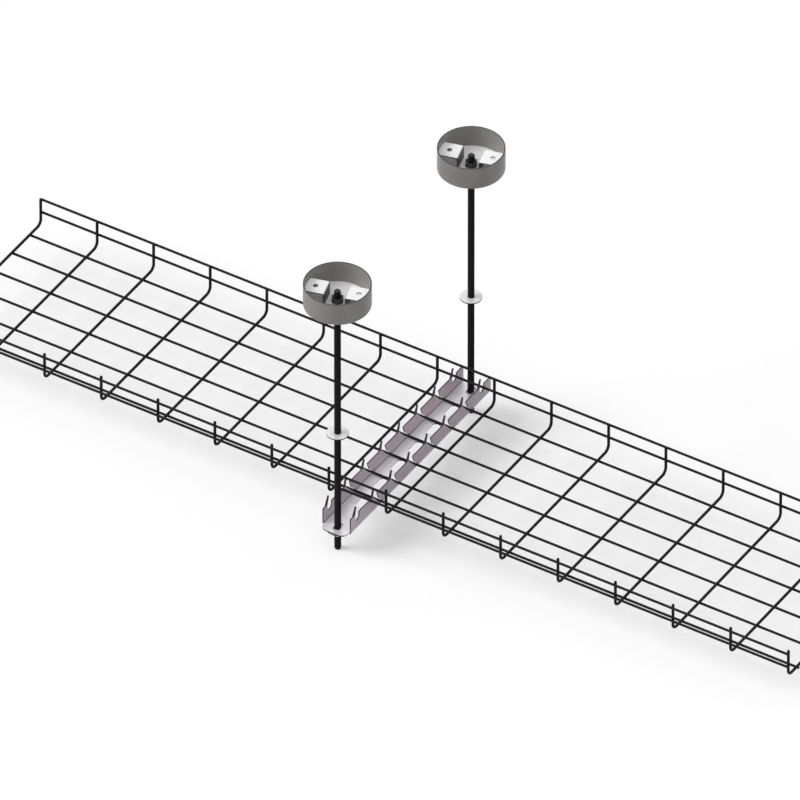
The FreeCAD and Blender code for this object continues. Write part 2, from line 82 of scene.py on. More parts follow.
class NodeSheet:
    """A node tree that is filled in step by step."""

    def __init__(self, tree: bpy.types.NodeTree) -> None:
        """Take over a node tree.

        Args:
            tree: the tree that the nodes go into.
        """
        self.tree = tree

    def node(self, kind: str, inputs: dict | None = None, **options: object) -> bpy.types.Node:
        """Add one node.

        Args:
            kind: the node's type name.
            inputs: what goes into its sockets, by name or index, as a socket or a plain value.
            options: settings of the node itself.

        Returns:
            The new node.
        """
        made = self.tree.nodes.new(kind)
        for option, choice in options.items():
            setattr(made, option, choice)
        for key, value in (inputs or {}).items():
            if isinstance(value, bpy.types.NodeSocket):
                self.tree.links.new(value, made.inputs[key])
            else:
                made.inputs[key].default_value = value
        return made


class FormTree(NodeSheet):
    """A Geometry Nodes tree that makes one repeated form, with a named input for each size."""

    def __init__(self, name: str) -> None:
        """Start an empty tree.

        Args:
            name: what the tree makes.
        """
        super().__init__(bpy.data.node_groups.new(name, "GeometryNodeTree"))
        self.tree.interface.new_socket("Form", in_out="OUTPUT", socket_type="NodeSocketGeometry")
        self.inlet = self.tree.nodes.new("NodeGroupInput")
        self.settings: dict[str, object] = {}

    def size(
        self, name: str, value: float | int | Vector | bpy.types.Material
    ) -> bpy.types.NodeSocket:
        """Add a named input and note what it is set to.

        Args:
            name: the input's name.
            value: a length, a count, a place or a material.

        Returns:
            The input's socket inside the tree.
        """
        kinds = {float: "Float", int: "Int", Vector: "Vector", bpy.types.Material: "Material"}
        socket_type = f"NodeSocket{kinds[type(value)]}"
        item = self.tree.interface.new_socket(name, in_out="INPUT", socket_type=socket_type)
        self.settings[item.identifier] = tuple(value) if isinstance(value, Vector) else value
        return self.inlet.outputs[name]

    def work_out(
        self, operation: str, *terms: bpy.types.NodeSocket | float
    ) -> bpy.types.NodeSocket:
        """Work out one value from others.

        Args:
            operation: name of the arithmetic step.
            terms: the values that go into it.

        Returns:
            The socket that holds the result.
        """
        return self.node("ShaderNodeMath", dict(enumerate(terms)), operation=operation).outputs[0]

    def place(self, x: object = 0.0, y: object = 0.0, z: object = 0.0) -> bpy.types.NodeSocket:
        """Join three coordinates into a place."""
        return self.node("ShaderNodeCombineXYZ", {"X": x, "Y": y, "Z": z}).outputs[0]

    def row(self, start: object, step: object, count: object) -> bpy.types.NodeSocket:
        """Lay out a row of points.

        Args:
            start: place of the first point.
            step: way from one point to the next.
            count: how many points there are.

        Returns:
            The socket that holds the points.
        """
        inputs = {"Count": count, "Start Location": start, "Offset": step}
        return self.node("GeometryNodeMeshLine", inputs, mode="OFFSET").outputs[0]

    def copies(self, points: object, form: object, scale: object = None) -> bpy.types.NodeSocket:
        """Stand a copy of a form on every point.

        Args:
            points: where the copies go.
            form: what is copied.
            scale: size of each copy, if it differs from the form's own.

        Returns:
            The socket that holds the copies.
        """
        inputs = {"Points": points, "Instance": form}
        if scale is not None:
            inputs["Scale"] = scale
        return self.node("GeometryNodeInstanceOnPoints", inputs).outputs[0]

    def wire(self, path: object, radius: object, sides: int) -> bpy.types.NodeSocket:
        """Draw a closed round wire along a path.

        Args:
            path: the wire's centreline.
            radius: half the wire's thickness.
            sides: how many faces go round it.

        Returns:
            The socket that holds the wire.
        """
        size = {"Resolution": sides, "Radius": radius}
        section = self.node("GeometryNodeCurvePrimitiveCircle", size)
        inputs = {"Curve": path, "Profile Curve": section.outputs[0], "Fill Caps": True}
        return self.node("GeometryNodeCurveToMesh", inputs).outputs[0]

    def make(
        self, name: str, form: bpy.types.NodeSocket, finish: bpy.types.Material
    ) -> bpy.types.Object:
        """Close the tree, run it once and keep the result as a plain mesh.

        Args:
            name: name of the new piece.
            form: the socket that holds the finished form.
            finish: the material that covers it.

        Returns:
            The new piece, without a modifier.
        """
        smooth = self.node("GeometryNodeSetShadeSmooth", {0: form})
        real = self.node("GeometryNodeRealizeInstances", {0: smooth.outputs[0]})
        inputs = {"Geometry": real.outputs[0], "Material": self.size("Finish", finish)}
        dressed = self.node("GeometryNodeSetMaterial", inputs)
        self.node("NodeGroupOutput", {0: dressed.outputs[0]})
        piece = link_piece(name, bpy.data.meshes.new(name))
        modifier = piece.modifiers.new("form", "NODES")
        modifier.node_group = self.tree
        for identifier, value in self.settings.items():
            modifier[identifier] = value
        keep_evaluated(piece)
        return piece


def link_piece(name: str, mesh: bpy.types.Mesh) -> bpy.types.Object:
    """Put a mesh into the scene as a piece at the origin.

    Args:
        name: name of the piece.
        mesh: its mesh, already in place.

    Returns:
        The new object.
    """
    piece = bpy.data.objects.new(name, mesh)
    bpy.context.scene.collection.objects.link(piece)
    return piece


def keep_form(form: bmesh.types.BMesh, name: str) -> bpy.types.Object:
    """Turn a worked form into a piece, and let go of the form.

    Args:
        form: the finished form, already in place.
        name: name of the new piece.

    Returns:
        The new piece.
    """
    mesh = bpy.data.meshes.new(name)
    form.to_mesh(mesh)
    form.free()
    return link_piece(name, mesh)


def keep_evaluated(piece: bpy.types.Object) -> None:
    """Turn what a piece's modifiers make into its own mesh, and drop the modifiers.

    Args:
        piece: the object that carries the modifiers.
    """
    graph = bpy.context.evaluated_depsgraph_get()
    graph.update()
    mesh = bpy.data.meshes.new_from_object(piece.evaluated_get(graph))
    mesh.name = piece.name
    piece.modifiers.clear()
    piece.data = mesh


def round_off(
    piece: bpy.types.Object, radius: float, picks: Callable[[bmesh.types.BMEdge], bool]
) -> None:
    """Round the picked edges of a piece and shade it so that its flats stay flat.

    Args:
        piece: the object whose edges are rounded.
        radius: how much is taken off each edge.
        picks: tells whether an edge is rounded.
    """
    form = bmesh.new()
    form.from_mesh(piece.data)
    edges = [edge for edge in form.edges if picks(edge)]
    bmesh.ops.bevel(
        form, geom=edges, offset=radius, segments=EDGE_STEPS, profile=0.5, affect="EDGES",
        clamp_overlap=True, material=-1,
    )
    form.to_mesh(piece.data)
    form.free()
    piece.data.shade_smooth()
    shade = piece.modifiers.new("flats", "WEIGHTED_NORMAL")
    shade.weight = FLAT_WEIGHT
    keep_evaluated(piece)


def is_sharp(edge: bmesh.types.BMEdge) -> bool:
    """Tell whether two faces meet at a clear corner along an edge."""
    return len(edge.link_faces) == 2 and edge.calc_face_angle(0.0) > CORNER_TURN


def is_wire_end(edge: bmesh.types.BMEdge) -> bool:
    """Tell whether an edge goes round the cut end of a wire."""
    return any(len(face.verts) > 4 for face in edge.link_faces)


def refined_copy(
    node: str, name: str, edge_round: float, levels: Sequence[float] = ()
) -> bpy.types.Object:
    """Copy a CAD node, join its loose triangles and round its corners.

    Args:
        node: name of the CAD node.
        name: name of the new piece.
        edge_round: how much is taken off each corner.
        levels: heights at which faces are divided, so that each part can have its own finish.

    Returns:
        The new piece, in the node's place.
    """
    form = bmesh.new()
    form.from_mesh(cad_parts[node].data)
    bmesh.ops.remove_doubles(form, verts=form.verts, dist=JOIN_REACH)
    bmesh.ops.dissolve_limit(form, angle_limit=FLAT_TURN, verts=form.verts, edges=form.edges)
    for level in levels:
        everything = form.verts[:] + form.edges[:] + form.faces[:]
        bmesh.ops.bisect_plane(form, geom=everything, plane_co=(0, 0, level), plane_no=(0, 0, 1))
    piece = keep_form(form, name)
    round_off(piece, edge_round, is_sharp)
    return piece


def stand(node: str) -> tuple[Vector, float, float, float]:
    """Find where a CAD node stands.

    Args:
        node: name of the CAD node.

    Returns:
        The middle of its foot, then its size along x, y and z.
    """
    low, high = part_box(node)
    foot = Vector(((low.x + high.x) / 2, (low.y + high.y) / 2, low.z))
    return foot, high.x - low.x, high.y - low.y, high.z - low.z


def turned_piece(name: str, axis: Vector, profile: Profile, columns: int) -> bpy.types.Object:
    """Turn a closed outline round an upright axis.

    Args:
        name: name of the new piece.
        axis: foot of the axis.
        profile: radius and height of each corner of the outline, in order.
        columns: how many faces go round.

    Returns:
        The new piece, closed and smooth.
    """
    return ringed_piece(name, axis, [[point] * columns for point in profile])


def ringed_piece(name: str, axis: Vector, rings: Sequence[Profile]) -> bpy.types.Object:
    """Join rings round an upright axis into a closed skin with a bore.

    Args:
        name: name of the new piece.
        axis: foot of the axis.
        rings: one ring for each corner of the outline, as radius and height at each column.

    Returns:
        The new piece.
    """
    form = bmesh.new()
    columns = len(rings[0])
    corners = []
    for ring in rings:
        corners.append([])
        for column, (radius, height) in enumerate(ring):
            turn = math.tau * column / columns
            spot = Vector((radius * math.cos(turn), radius * math.sin(turn), height))
            corners[-1].append(form.verts.new(axis + spot))
    for index, ring in enumerate(corners):
        following = corners[(index + 1) % len(corners)]
        for column in range(columns):
            beside = (column + 1) % columns
            form.faces.new((ring[column], ring[beside], following[beside], following[column]))
    bmesh.ops.recalc_face_normals(form, faces=form.faces)
    return keep_form(form, name)


def rounded(corners: Sequence[tuple[float, float, float]], steps: int = 3) -> Profile:
    """Round the corners of a closed outline.

    Args:
        corners: radius, height and rounding of each corner.
        steps: how many faces a rounded corner gets.

    Returns:
        The outline's points.
    """
    points = []
    for index, (radius, height, rounding) in enumerate(corners):
        here = Vector((radius, height))
        if rounding == 0:
            points.append((radius, height))
            continue
        before = (Vector(corners[index - 1][:2]) - here).normalized() * rounding
        after = (Vector(corners[(index + 1) % len(corners)][:2]) - here).normalized() * rounding
        for step in range(steps + 1):
            share = step / steps
            spot = here + before * (1 - share) ** 2 + after * share**2
            points.append((spot.x, spot.y))
    return points


def paint_faces(
    piece: bpy.types.Object,
    finishes: Sequence[bpy.types.Material],
    picks: Callable[[bpy.types.MeshPolygon], int],
) -> None:
    """Give each face of a piece one of several finishes.

    Args:
        piece: the object to paint.
        finishes: the finishes, in the order of their numbers.
        picks: gives the number of a face's finish.
    """
    piece.data.materials.clear()
    for finish in finishes:
        piece.data.materials.append(finish)
    for face in piece.data.polygons:
        face.material_index = picks(face)


class Pattern(NamedTuple):
    """What steers a finish: the mix of its tones, its gloss and, if it has one, its relief."""

    mix: bpy.types.NodeSocket
    grain: bpy.types.NodeSocket
    relief: bpy.types.NodeSocket | None = None


@dataclass(frozen=True)
class Finish:
    """A procedural finish with two close tones and an uneven gloss."""

    name: str
    tone: Colour
    other_tone: Colour
    gloss: tuple[float, float] = (0.38, 0.5)
    metal: float = 0.0
    specular: float = 0.5

    def make(self) -> bpy.types.Material:
        """Build the finish's material.

        Returns:
            The new material.
        """
        material = bpy.data.materials.new(self.name)
        material.use_nodes = True
        sheet = NodeSheet(material.node_tree)
        shader = material.node_tree.nodes["Principled BSDF"]
        place = sheet.node("ShaderNodeTexCoord").outputs["Object"]
        pattern = self.pattern(sheet, place)
        tones = {0: pattern.mix, 6: (*self.tone, 1.0), 7: (*self.other_tone, 1.0)}
        tone = sheet.node("ShaderNodeMix", tones, data_type="RGBA")
        levels = {"Value": pattern.grain, "To Min": self.gloss[0], "To Max": self.gloss[1]}
        gloss = sheet.node("ShaderNodeMapRange", levels)
        sheet.tree.links.new(tone.outputs[2], shader.inputs["Base Color"])
        sheet.tree.links.new(gloss.outputs[0], shader.inputs["Roughness"])
        if pattern.relief is not None:
            sheet.tree.links.new(pattern.relief, shader.inputs["Normal"])
        shader.inputs["Metallic"].default_value = self.metal
        shader.inputs["Specular IOR Level"].default_value = self.specular
        return material

    def pattern(self, sheet: NodeSheet, place: bpy.types.NodeSocket) -> Pattern:
        """Draw the finish's pattern.

        Args:
            sheet: the material's node tree.
            place: the surface's place on the object.

        Returns:
            What steers the tones, the gloss and the relief.
        """
        raise NotImplementedError


@dataclass(frozen=True)
class SurfaceCoat(Finish):
    """A coat of paint or powder, with wide worn patches and a fine orange peel."""

    patch_size: float = 25 * MM
    patch_range: tuple[float, float] = (0.35, 0.7)
    peel_size: float = 0.7 * MM
    peel_depth: float = 0.02 * MM
    peel_strength: float = 0.6

    def pattern(self, sheet: NodeSheet, place: bpy.types.NodeSocket) -> Pattern:
        """Let the tones follow the patches, and the gloss and relief the peel."""
        patch = {"Vector": place, "Scale": 1 / self.patch_size, "Detail": 4.0}
        patches = sheet.node("ShaderNodeTexNoise", patch).outputs[0]
        least, most = self.patch_range
        worn = {"Value": patches, "From Min": least, "From Max": most}
        peel = {"Vector": place, "Scale": 1 / self.peel_size, "Detail": 2.0}
        grain = sheet.node("ShaderNodeTexNoise", peel).outputs[0]
        bump = {"Strength": self.peel_strength, "Distance": self.peel_depth, "Height": grain}
        relief = sheet.node("ShaderNodeBump", bump).outputs[0]
        return Pattern(sheet.node("ShaderNodeMapRange", worn).outputs[0], grain, relief)


@dataclass(frozen=True)
class ZincPlate(Finish):
    """Bright zinc, with small crystal patches of slightly different tone and gloss."""

    gloss: tuple[float, float] = (0.28, 0.45)
    metal: float = 0.3
    crystal: float = 2.2 * MM

    def pattern(self, sheet: NodeSheet, place: bpy.types.NodeSocket) -> Pattern:
        """Give each crystal its own tone and its own gloss."""
        cells = sheet.node("ShaderNodeTexVoronoi", {"Vector": place, "Scale": 1 / self.crystal})
        draw = sheet.node("ShaderNodeSeparateColor", {0: cells.outputs["Color"]})
        return Pattern(draw.outputs[0], draw.outputs[1])


@dataclass(frozen=True)
class BlackenedSteel(Finish):
    """Oiled black steel, with fine scratches along one direction."""

    gloss: tuple[float, float] = (0.32, 0.5)
    specular: float = 0.4
    scratch: tuple[float, float, float] = (2600, 2600, 160)
    scratch_range: tuple[float, float] = (0.5, 0.8)

    def pattern(self, sheet: NodeSheet, place: bpy.types.NodeSocket) -> Pattern:
        """Let the tones and the gloss follow the scratches."""
        stretched = sheet.node("ShaderNodeMapping", {"Vector": place, "Scale": self.scratch})
        noise = {"Vector": stretched.outputs[0], "Scale": 1.0, "Detail": 3.0}
        scratches = sheet.node("ShaderNodeTexNoise", noise).outputs[0]
        least, most = self.scratch_range
        rubbed = {"Value": scratches, "From Min": least, "From Max": most}
        return Pattern(sheet.node("ShaderNodeMapRange", rubbed).outputs[0], scratches)


@dataclass
class BasketMesh:
    """The welded basket: U-shaped cross wires, floor wires below them and rails outside."""

    cross_wire: float = 4.5 * MM
    long_wire: float = 4.0 * MM
    weld_depth: float = 0.4 * MM
    cross_pitch: float = 100 * MM
    floor_pitch: float = 50 * MM
    floor_wires: int = 6
    side_rails: int = 2
    wall_bend: float = 10 * MM
    rail_drop: float = 4 * MM
    rail_spacing: float = 24.5 * MM
    end_round: float = 0.7 * MM
    wire_sides: int = 14
    bend_steps: int = 9
    bead_reach: float = 2 * MM
    bead_rise: float = 1 * MM
    bead_sizes: tuple[float, float] = (0.88, 1.12)
    bead_seed: int = 7
    coat: SurfaceCoat = SurfaceCoat(
        "black_powder_coat", (0.006, 0.006, 0.007), (0.011, 0.01, 0.012), gloss=(0.5, 0.64),
        specular=0.12,
    )

    def __post_init__(self) -> None:
        """Take the basket's place from its CAD node."""
        self.low, self.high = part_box("basket_mesh")
        self.first_x = self.low.x + self.cross_wire / 2
        last_x = self.high.x - self.cross_wire / 2
        self.count = round((last_x - self.first_x) / self.cross_pitch) + 1
        self.mid_y = (self.low.y + self.high.y) / 2
        self.rail_y = (self.high.y - self.low.y - self.long_wire) / 2
        self.wall_y = self.rail_y - (self.long_wire + self.cross_wire) / 2 + self.weld_depth
        self.floor_z = self.low.z + self.long_wire + self.cross_wire / 2 - self.weld_depth
        self.top_rail_z = self.high.z - self.rail_drop

    def build(self) -> list[bpy.types.Object]:
        """Make the wires and their welds.

        Returns:
            The basket's pieces.
        """
        finish = self.coat.make()
        first_y = self.mid_y - (self.floor_wires - 1) / 2 * self.floor_pitch
        floor = Vector((self.low.x, first_y, self.low.z + self.long_wire / 2))
        step = Vector((0, self.floor_pitch, 0))
        contact = floor + Vector((0, 0, self.long_wire / 2))
        bead = Vector((self.bead_reach, self.bead_reach, self.bead_rise))
        pieces = [
            self.cross_wires(finish),
            self.long_wires("floor_wires", floor, step, self.floor_wires, finish),
            self.welds("floor_welds", contact, step, self.floor_wires, bead, finish),
        ]
        drop = Vector((0, 0, -self.rail_spacing))
        bead = Vector((self.bead_reach, self.bead_rise, self.bead_reach))
        for side, sign in ((Side.NEAR, -1), (Side.FAR, 1)):
            rail = Vector((self.low.x, self.mid_y + sign * self.rail_y, self.top_rail_z))
            contact = rail - Vector((0, sign * self.long_wire / 2, 0))
            rails = side.node("rails"), rail, drop, self.side_rails
            welds = side.node("rail_welds"), contact, drop, self.side_rails, bead
            pieces += [self.long_wires(*rails, finish), self.welds(*welds, finish)]
        for piece in pieces:
            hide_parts("basket_mesh")
        return pieces

    def cross_wires(self, finish: bpy.types.Material) -> bpy.types.Object:
        """Bend one cross wire and repeat it along the basket.

        Args:
            finish: the material of the wires.

        Returns:
            All cross wires as one piece.
        """
        tree = FormTree("cross wires")
        half = tree.size("Half Width", self.wall_y)
        middle = tree.size("Middle", self.mid_y)
        floor = tree.size("Floor Level", self.floor_z)
        tip = tree.size("Tip Level", self.high.z)
        radius = tree.size("Wire Radius", self.cross_wire / 2)
        bend = tree.size("Bend Radius", self.wall_bend)
        # Corners 0 to 3 go from the near tip down, over the floor and up to the far tip.
        corner = tree.work_out("SUBTRACT", tree.node("GeometryNodeInputIndex").outputs[0], 1.5)
        across = tree.work_out("MULTIPLY_ADD", tree.work_out("SIGN", corner), half, middle)
        upper = tree.work_out("SUBTRACT", tree.work_out("ABSOLUTE", corner), 0.5)
        level = tree.work_out("MULTIPLY_ADD", upper, tree.work_out("SUBTRACT", tip, floor), floor)
        line = tree.row((0.0, 0.0, 0.0), (0.0, 0.0, 1.0), 4)
        corners = {0: line, "Position": tree.place(y=across, z=level)}
        shape = tree.node("GeometryNodeSetPosition", corners)
        path = tree.node("GeometryNodeMeshToCurve", {0: shape.outputs[0]})
        bends = {"Curve": path.outputs[0], "Count": self.bend_steps, "Radius": bend}
        bent = tree.node("GeometryNodeFilletCurve", bends, mode="POLY")
        wire = tree.wire(bent.outputs[0], radius, self.wire_sides)
        start = tree.place(x=tree.size("First", self.first_x))
        step = tree.place(x=tree.size("Pitch", self.cross_pitch))
        places = tree.row(start, step, tree.size("Count", self.count))
        piece = tree.make("cross_wires", tree.copies(places, wire), finish)
        round_off(piece, self.end_round, is_wire_end)
        return piece

    def long_wires(
        self, name: str, start: Vector, step: Vector, count: int, finish: bpy.types.Material
    ) -> bpy.types.Object:
        """Lay a row of straight wires that run the basket's length.

        Args:
            name: name of the piece.
            start: left end of the first wire.
            step: way from one wire to the next.
            count: how many wires there are.
            finish: the material of the wires.

        Returns:
            The wires as one piece.
        """
        tree = FormTree(name.replace("_", " "))
        length = tree.place(x=tree.size("Length", self.high.x - self.low.x))
        path = tree.node("GeometryNodeCurvePrimitiveLine", {"End": length})
        radius = tree.size("Wire Radius", self.long_wire / 2)
        wire = tree.wire(path.outputs[0], radius, self.wire_sides)
        first, way = tree.size("First", start), tree.size("Step", step)
        places = tree.row(first, way, tree.size("Count", count))
        piece = tree.make(name, tree.copies(places, wire), finish)
        round_off(piece, self.end_round, is_wire_end)
        return piece

    def welds(
        self,
        name: str,
        start: Vector,
        step: Vector,
        rows: int,
        bead: Vector,
        finish: bpy.types.Material,
    ) -> bpy.types.Object:
        """Put a small squeezed bead on every crossing of two wires.

        Args:
            name: name of the piece.
            start: contact of the first row, at the left end of the wires.
            step: way from one row to the next.
            rows: how many rows there are.
            bead: half the size of a bead along each axis.
            finish: the material of the beads.

        Returns:
            The beads as one piece.
        """
        tree = FormTree(name.replace("_", " "))
        first = tree.size("First", Vector((self.first_x, start.y, start.z)))
        rows_at = tree.row(first, tree.size("Row Step", step), tree.size("Rows", rows))
        pitch = tree.place(x=tree.size("Pitch", self.cross_pitch))
        row = tree.row((0.0, 0.0, 0.0), pitch, tree.size("Beads", self.count))
        points = tree.node("GeometryNodeRealizeInstances", {0: tree.copies(rows_at, row)})
        least, most = self.bead_sizes
        draw = {2: least, 3: most, "Seed": tree.size("Seed", self.bead_seed)}
        uneven = tree.node("FunctionNodeRandomValue", draw, data_type="FLOAT")
        sizes = {0: tree.size("Bead", bead), "Scale": uneven.outputs[1]}
        scale = tree.node("ShaderNodeVectorMath", sizes, operation="SCALE")
        ball = tree.node("GeometryNodeMeshUVSphere", {"Segments": 10, "Rings": 6, "Radius": 1.0})
        form = tree.copies(points.outputs[0], ball.outputs[0], scale.outputs[0])
        return tree.make(name, form, finish)


@dataclass
class TrapezeChannel:
    """The hooked channel: pale web, mauve walls whose darker tone is painted shade, dark cut edges
    and tongue tips, and painted shade along the folds at the web.
    """

    edge_round: float = 0.25 * MM
    sheet: float = 2 * MM
    wall_rise: float = 26 * MM
    fold_rise: float = 1 * MM
    tip_rise: float = 0.5 * MM
    fold_tilt: float = 0.3
    wall_tilt: float = 0.72
    web_tilt: float = 0.6
    # The walls are the web's pale sheet painted a darker mauve: painted shade on the upright faces.
    wall_coat: SurfaceCoat = SurfaceCoat(
        "mauve_wall_painted_shade", (0.54, 0.462, 0.52), (0.59, 0.503, 0.565), gloss=(0.45, 0.6),
        specular=0.35,
    )
    web_coat: SurfaceCoat = SurfaceCoat(
        "pale_web_coat", (0.93, 0.92, 0.93), (0.88, 0.87, 0.88), gloss=(0.3, 0.42), metal=0.6
    )
    # The dark coat marks the cut edges and tongue tips, and is painted shade along the folds at the
    # web.
    edge_and_shade_coat: SurfaceCoat = SurfaceCoat(
        "dark_cut_edge_and_fold_shade", (0.022, 0.019, 0.022), (0.038, 0.033, 0.038), gloss=(0.5, 0.65),
        specular=0.25,
    )

    def build(self) -> list[bpy.types.Object]:
        """Refine the folded channel and paint its faces.

        Returns:
            The channel's one piece.
        """
        foot, *_ = stand("trapeze_channel")
        above_web = foot.z + self.sheet + self.fold_rise
        wall_top = foot.z + self.sheet + self.wall_rise
        levels = [wall_top + self.tip_rise]
        piece = refined_copy("trapeze_channel", "hooked_channel", self.edge_round, levels)

        def pick(face: bpy.types.MeshPolygon) -> int:
            """Number a face: 0 for a wall in painted shade, 1 for the web, 2 for a cut edge, a tip
            or a fold in painted shade.
            """
            across, up = abs(face.normal.x), abs(face.normal.z)
            at_web = face.center.z < above_web
            # Faces along the folds at the web get the dark coat as painted crease shade.
            if face.center.z > wall_top or (at_web and min(across, up) > self.fold_tilt):
                return 2
            if across > self.wall_tilt:
                return 0
            return 1 if at_web and up > self.web_tilt else 2

        finishes = [coat.make() for coat in (self.wall_coat, self.web_coat, self.edge_and_shade_coat)]
        paint_faces(piece, finishes, pick)
        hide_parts("trapeze_channel")
        return [piece]


@dataclass
class HangerRods:
    """The two threaded rods, with their coiled threads."""

    thread_pitch: float = 1.5 * MM
    thread_depth: float = 0.92 * MM
    crest: float = 0.3 * MM
    root_share: float = 0.96
    plain_end: float = 1.3 * MM
    coil_steps: int = 14
    core_sides: int = 24
    flank_turn: float = math.radians(28)
    steel: BlackenedSteel = BlackenedSteel(
        "blackened_rod_steel", (0.014, 0.014, 0.016), (0.05, 0.05, 0.052)
    )

    def build(self) -> list[bpy.types.Object]:
        """Make both rods.

        Returns:
            The two rods.
        """
        finish = self.steel.make()
        return [self.rod(side, finish) for side in Side]

    def rod(self, side: Side, finish: bpy.types.Material) -> bpy.types.Object:
        """Wind the thread of one rod round its core.

        Args:
            side: which rod it is.
            finish: the material of the rod.

        Returns:
            The rod.
        """
        node = side.node("threaded_rod")
        place, thickness, _, height = stand(node)
        tree = FormTree(node.replace("_", " "))
        foot = tree.size("Foot", place)
        length = tree.size("Length", height)
        crest_radius = tree.size("Radius", thickness / 2)
        depth = tree.size("Thread Depth", self.thread_depth)
        pitch = tree.size("Pitch", self.thread_pitch)
        end = tree.size("Plain End", self.plain_end)
        crest = tree.size("Crest", self.crest)
        run = tree.work_out("MULTIPLY_ADD", end, -2.0, length)
        middle = tree.work_out("MULTIPLY_ADD", depth, -0.5, crest_radius)
        winding = {
            "Resolution": self.coil_steps, "Rotations": tree.work_out("DIVIDE", run, pitch),
            "Start Radius": middle, "End Radius": middle, "Height": run,
        }
        coil = tree.node("GeometryNodeCurveSpiral", winding)
        upright = tree.node("GeometryNodeSetCurveNormal", {0: coil.outputs[0]}, mode="Z_UP")
        root = tree.work_out("MULTIPLY", pitch, self.root_share)
        ridge = {"Height": depth, "Bottom Width": root, "Top Width": crest, "Offset": 0.0}
        section = tree.node("GeometryNodeCurvePrimitiveQuadrilateral", ridge, mode="TRAPEZOID")
        sweep = {
            "Curve": upright.outputs[0], "Profile Curve": section.outputs[0], "Fill Caps": True
        }
        thread = tree.node("GeometryNodeCurveToMesh", sweep)
        lift = {0: thread.outputs[0], "Offset": tree.place(z=end)}
        lifted = tree.node("GeometryNodeSetPosition", lift)
        core_radius = tree.work_out("SUBTRACT", crest_radius, depth)
        line = tree.node("GeometryNodeCurvePrimitiveLine", {"End": tree.place(z=length)})
        core = tree.wire(line.outputs[0], core_radius, self.core_sides)
        both = tree.node("GeometryNodeJoinGeometry", {0: lifted.outputs[0]})
        tree.tree.links.new(core, both.inputs[0])
        placed = tree.node("GeometryNodeSetPosition", {0: both.outputs[0], "Offset": foot})
        piece = tree.make(side.node("rod"), placed.outputs[0], finish)
        piece.data.set_sharp_from_angle(angle=self.flank_turn)
        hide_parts(node)
        return piece


class WasherPlace(Enum):
    """Where a washer sits on its rod."""

    STOP = "stop_washer"
    CLAMP = "clamp_washer"


class NutPlace(Enum):
    """Where a nut sits on its rod."""

    CLAMP = "clamp_nut"
    ANCHOR = "anchor_nut"


@dataclass
class RodFasteners:
    """The washers and nuts on the two rods."""

    bore: float = 10.5 * MM
    columns: int = 72
    sharp_turn: float = math.radians(24)
    washer_round: float = 0.25 * MM
    rim_tilt: float = 0.8
    nut_chamfer: float = math.radians(30)
    nut_face: float = 0.96
    bore_chamfer: float = 0.6 * MM
    zinc: ZincPlate = ZincPlate("bright_zinc", (0.86, 0.86, 0.85), (0.74, 0.74, 0.75))
    rim: SurfaceCoat = SurfaceCoat(
        "dark_washer_rim", (0.012, 0.012, 0.012), (0.025, 0.025, 0.025), specular=0.15
    )
    black: BlackenedSteel = BlackenedSteel(
        "blackened_nut_steel", (0.014, 0.014, 0.015), (0.045, 0.045, 0.045),
        scratch=(1800, 1800, 1800),
    )

    def build(self) -> list[bpy.types.Object]:
        """Make every washer and nut.

        Returns:
            The fasteners.
        """
        zinc, rim, black = self.zinc.make(), self.rim.make(), self.black.make()
        pieces = []
        for side in Side:
            pieces += [self.washer(side, place, zinc, rim) for place in WasherPlace]
            pieces.append(self.nut(side, NutPlace.CLAMP, zinc))
            pieces.append(self.nut(side, NutPlace.ANCHOR, black))
        return pieces

    def washer(
        self, side: Side, place: WasherPlace, zinc: bpy.types.Material, rim: bpy.types.Material
    ) -> bpy.types.Object:
        """Stamp one washer.

        Args:
            side: which rod it is on.
            place: where it sits.
            zinc: the material of its faces.
            rim: the material of its outer edge.

        Returns:
            The washer.
        """
        node = side.node(place.value)
        axis, width, _, height = stand(node)
        inner, outer, soft = self.bore / 2, width / 2, self.washer_round
        outline = rounded([
            (inner, 0, soft / 2), (outer, 0, soft),
            (outer, height, soft), (inner, height, soft / 2),
        ])
        piece = turned_piece(f"{node}_disc", axis, outline, self.columns)
        middle = (inner + outer) / 2

        def pick(face: bpy.types.MeshPolygon) -> int:
            """Number a face: 0 for the plated disc and 1 for its outer rim."""
            beyond = (face.center - axis).xy.length > middle
            return int(beyond and abs(face.normal.z) < self.rim_tilt)

        paint_faces(piece, [zinc, rim], pick)
        return self.fit(piece, node)

    def nut(
        self, side: Side, place: NutPlace, finish: bpy.types.Material
    ) -> bpy.types.Object:
        """Form one hexagon nut with chamfered corners.

        Args:
            side: which rod it is on.
            place: where it sits.
            finish: the nut's material.

        Returns:
            The nut.
        """
        node = side.node(place.value)
        axis, _, width, height = stand(node)
        flat, count = width / 2, self.columns
        face_radius = flat * self.nut_face
        turns = [math.tau * column / count % (math.pi / 3) - math.pi / 6 for column in range(count)]
        reach = [flat / math.cos(turn) for turn in turns]
        drop = [max(0.0, (out - face_radius) * math.tan(self.nut_chamfer)) for out in reach]
        bore, mouth = self.bore / 2, self.bore / 2 + self.bore_chamfer
        rings = [
            [(bore, self.bore_chamfer)] * count,
            [(mouth, 0.0)] * count,
            [(face_radius, 0.0)] * count,
            list(zip(reach, drop)),
            [(out, height - down) for out, down in zip(reach, drop)],
            [(face_radius, height)] * count,
            [(mouth, height)] * count,
            [(bore, height - self.bore_chamfer)] * count,
        ]
        piece = ringed_piece(f"{node}_hexagon", axis, rings)
        piece.data.materials.append(finish)
        return self.fit(piece, node)

    def fit(self, piece: bpy.types.Object, node: str) -> bpy.types.Object:
        """Shade a fastener and let it stand for its CAD node.

        Args:
            piece: the fastener.
            node: the node that it replaces.

        Returns:
            The same fastener.
        """
        piece.data.shade_smooth()
        piece.data.set_sharp_from_angle(angle=self.sharp_turn)
        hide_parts(node)
        return piece


